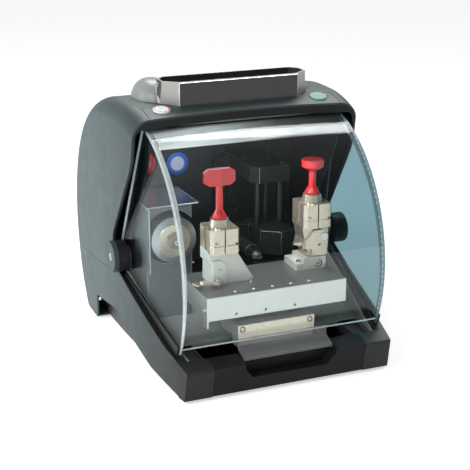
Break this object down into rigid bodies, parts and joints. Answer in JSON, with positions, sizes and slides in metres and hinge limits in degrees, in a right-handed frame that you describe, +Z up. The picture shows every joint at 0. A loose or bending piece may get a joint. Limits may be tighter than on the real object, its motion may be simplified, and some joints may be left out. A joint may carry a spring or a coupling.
{
  "type": "key duplicating machine",
  "caption": "Bench-top key duplicating machine with a domed case, swing-up clear visor, moving clamp table, disc cutter, milling head, top tray and chip drawer.",
  "frame": {"origin": "middle of the footprint, on the surface that the feet stand on", "axes": "+X to the operator's right, +Y to the back of the machine, +Z up"},
  "size_m": [0.442, 0.5599, 0.47],
  "materials": {
    "shell_grey": "satin moulded plastic",
    "bar_black": "semi-gloss",
    "trim_black": "matte",
    "liner_black": "matte powder coat",
    "floor_grey": "satin paint",
    "guard_grey": "satin paint",
    "steel_plate": "powder coat",
    "rubber_black": "matte",
    "silver_plastic": "satin silver",
    "panel_black": "gloss",
    "button_white": "gloss",
    "button_green": "gloss",
    "lens_white": "diffuse lit lens",
    "aluminium": "machined satin",
    "nickel": "satin nickel",
    "steel": "turned",
    "steel_dark": "ground",
    "wheel_steel": "ground",
    "head_black": "satin black anodised",
    "knob_red": "gloss",
    "clear_sheet": "clear polycarbonate",
    "board_green": "matte",
    "belt_black": "matte"
  },
  "bodies": {
    "root": {"base_plate": "steel_plate", "rubber_feet": "rubber_black", "lower_housing": "shell_grey", "upper_hood": "shell_grey", "opening_trims": "trim_black", "inner_liner": "liner_black", "work_floor": "floor_grey", "base_frame": "steel_plate", "pivot_ears": "steel_plate", "rear_panel": "trim_black", "power_inlet": "trim_black", "tray_body": "silver_plastic", "tray_front_panel": "panel_black", "lamp_housing": "silver_plastic", "lamp_lens": "lens_white", "electronics": "board_green", "housing_screws": "steel", "cutter_guard": "guard_grey", "cutter_bearing_block": "guard_grey", "cutter_motor": "head_black", "drive_belt": "belt_black", "z_column": "head_black", "guide_rails": "steel", "axis_motors": "steel_dark"},
    "rocker": {"rocker_switch": "panel_black"},
    "stop": {"stop_button": "button_white"},
    "start": {"start_button": "button_green"},
    "visor": {"visor_front": "clear_sheet", "visor_sides": "clear_sheet", "visor_rails": "trim_black", "visor_handle": "clear_sheet", "pivot_hubs": "trim_black", "pivot_discs": "shell_grey", "pivot_screws": "steel"},
    "drawer": {"drawer_front": "bar_black", "drawer_tray": "trim_black"},
    "cutter": {"cutter_shaft": "steel", "cutter_wheel": "wheel_steel", "cutter_flange": "nickel"},
    "motor_shaft": {"motor_pulley": "steel_dark"},
    "head": {"z_carriage": "head_black"},
    "head_screw": {"z_screw": "steel"},
    "mill": {"end_mill": "steel"},
    "y_slide_body": {"y_carriage": "aluminium", "y_front_cover": "nickel", "x_rails": "steel", "x_motor": "steel_dark"},
    "y_screw_body": {"y_screw": "steel"},
    "table": {"x_table": "aluminium", "table_bearings": "steel_dark", "table_screws": "steel", "left_clamp_base": "nickel", "right_clamp_base": "nickel"},
    "x_screw_body": {"x_screw": "steel"},
    "left_jaw": {"left_clamp_jaw": "nickel"},
    "left_knob": {"left_clamp_knob": "knob_red"},
    "right_jaw": {"right_clamp_jaw": "nickel"},
    "right_knob": {"right_clamp_knob": "knob_red"},
    "key_stop": {"left_stop_plate": "nickel"},
    "dial": {"right_clamp_dial": "steel_dark"}
  },
  "joints": [
    {"name": "visor_hinge", "type": "hinge", "parent": "root", "child": "visor", "pos_m": [0, -0.016, 0.171], "axis": [-1, 0, 0], "range_deg": [0, 80]},
    {"name": "drawer_slide", "type": "slide", "parent": "root", "child": "drawer", "axis": [0, -1, 0], "range_m": [0, 0.12]},
    {"name": "stop_press", "type": "slide", "parent": "root", "child": "stop", "axis": [0, 0.1977, -0.9803], "range_m": [0, 0.002], "stiffness_N_per_m": 600},
    {"name": "start_press", "type": "slide", "parent": "root", "child": "start", "axis": [0, 0.1977, -0.9803], "range_m": [0, 0.002], "stiffness_N_per_m": 600},
    {"name": "power_rocker", "type": "hinge", "parent": "root", "child": "rocker", "pos_m": [0.015, 0.2238, 0.058], "axis": [1, 0, 0], "range_deg": [0, 16]},
    {"name": "cutter_spin", "type": "hinge", "parent": "root", "child": "cutter", "pos_m": [-0.124, 0, 0.206], "axis": [0, -1, 0], "continuous": true},
    {"name": "motor_spin", "type": "hinge", "parent": "root", "child": "motor_shaft", "pos_m": [-0.124, 0, 0.116], "axis": [0, -1, 0], "continuous": true},
    {"name": "head_lift", "type": "slide", "parent": "root", "child": "head", "axis": [0, 0, 1], "range_m": [-0.005, 0.06]},
    {"name": "head_screw_turn", "type": "hinge", "parent": "root", "child": "head_screw", "pos_m": [0.077, 0.007, 0.2], "axis": [0, 0, 1], "range_deg": [-216, 2196]},
    {"name": "mill_spin", "type": "hinge", "parent": "head", "child": "mill", "pos_m": [0.024, 0, 0.163], "axis": [0, -1, 0], "continuous": true},
    {"name": "y_travel", "type": "slide", "parent": "root", "child": "y_slide_body", "axis": [0, 1, 0], "range_m": [-0.003, 0.03]},
    {"name": "y_screw_turn", "type": "hinge", "parent": "root", "child": "y_screw_body", "pos_m": [-0.006, 0, 0.071], "axis": [0, 1, 0], "range_deg": [-144, 1116]},
    {"name": "x_travel", "type": "slide", "parent": "y_slide_body", "child": "table", "axis": [1, 0, 0], "range_m": [-0.04, 0.02]},
    {"name": "x_screw_turn", "type": "hinge", "parent": "y_slide_body", "child": "x_screw_body", "pos_m": [0, -0.159, 0.122], "axis": [1, 0, 0], "range_deg": [-1476, 756]},
    {"name": "left_jaw_lift", "type": "slide", "parent": "table", "child": "left_jaw", "axis": [0, 0, 1], "range_m": [0, 0.003]},
    {"name": "left_knob_turn", "type": "hinge", "parent": "left_jaw", "child": "left_knob", "pos_m": [-0.073, -0.149, 0.3], "axis": [0, 0, 1], "range_deg": [-10, 730]},
    {"name": "right_jaw_lift", "type": "slide", "parent": "table", "child": "right_jaw", "axis": [0, 0, 1], "range_m": [0, 0.003]},
    {"name": "right_knob_turn", "type": "hinge", "parent": "right_jaw", "child": "right_knob", "pos_m": [0.1, -0.136, 0.3], "axis": [0, 0, 1], "range_deg": [-10, 730]},
    {"name": "key_stop_swing", "type": "hinge", "parent": "table", "child": "key_stop", "pos_m": [-0.085, -0.176, 0.16], "axis": [0, 0, 1], "range_deg": [0, 70]},
    {"name": "dial_turn", "type": "hinge", "parent": "table", "child": "dial", "pos_m": [0.114, -0.156, 0.209], "axis": [0, -1, 0], "range_deg": [0, 90]}
  ],
  "couplings": [
    {"joint": "motor_spin", "follows": "cutter_spin", "ratio": 1},
    {"joint": "head_screw_turn", "follows": "head_lift", "rad_per_m": 628.32},
    {"joint": "y_screw_turn", "follows": "y_travel", "rad_per_m": 628.32},
    {"joint": "x_screw_turn", "follows": "x_travel", "rad_per_m": 628.32},
    {"joint": "left_knob_turn", "follows": "left_jaw_lift", "rad_per_m": 4188.8},
    {"joint": "right_knob_turn", "follows": "right_jaw_lift", "rad_per_m": 4188.8}
  ]
}
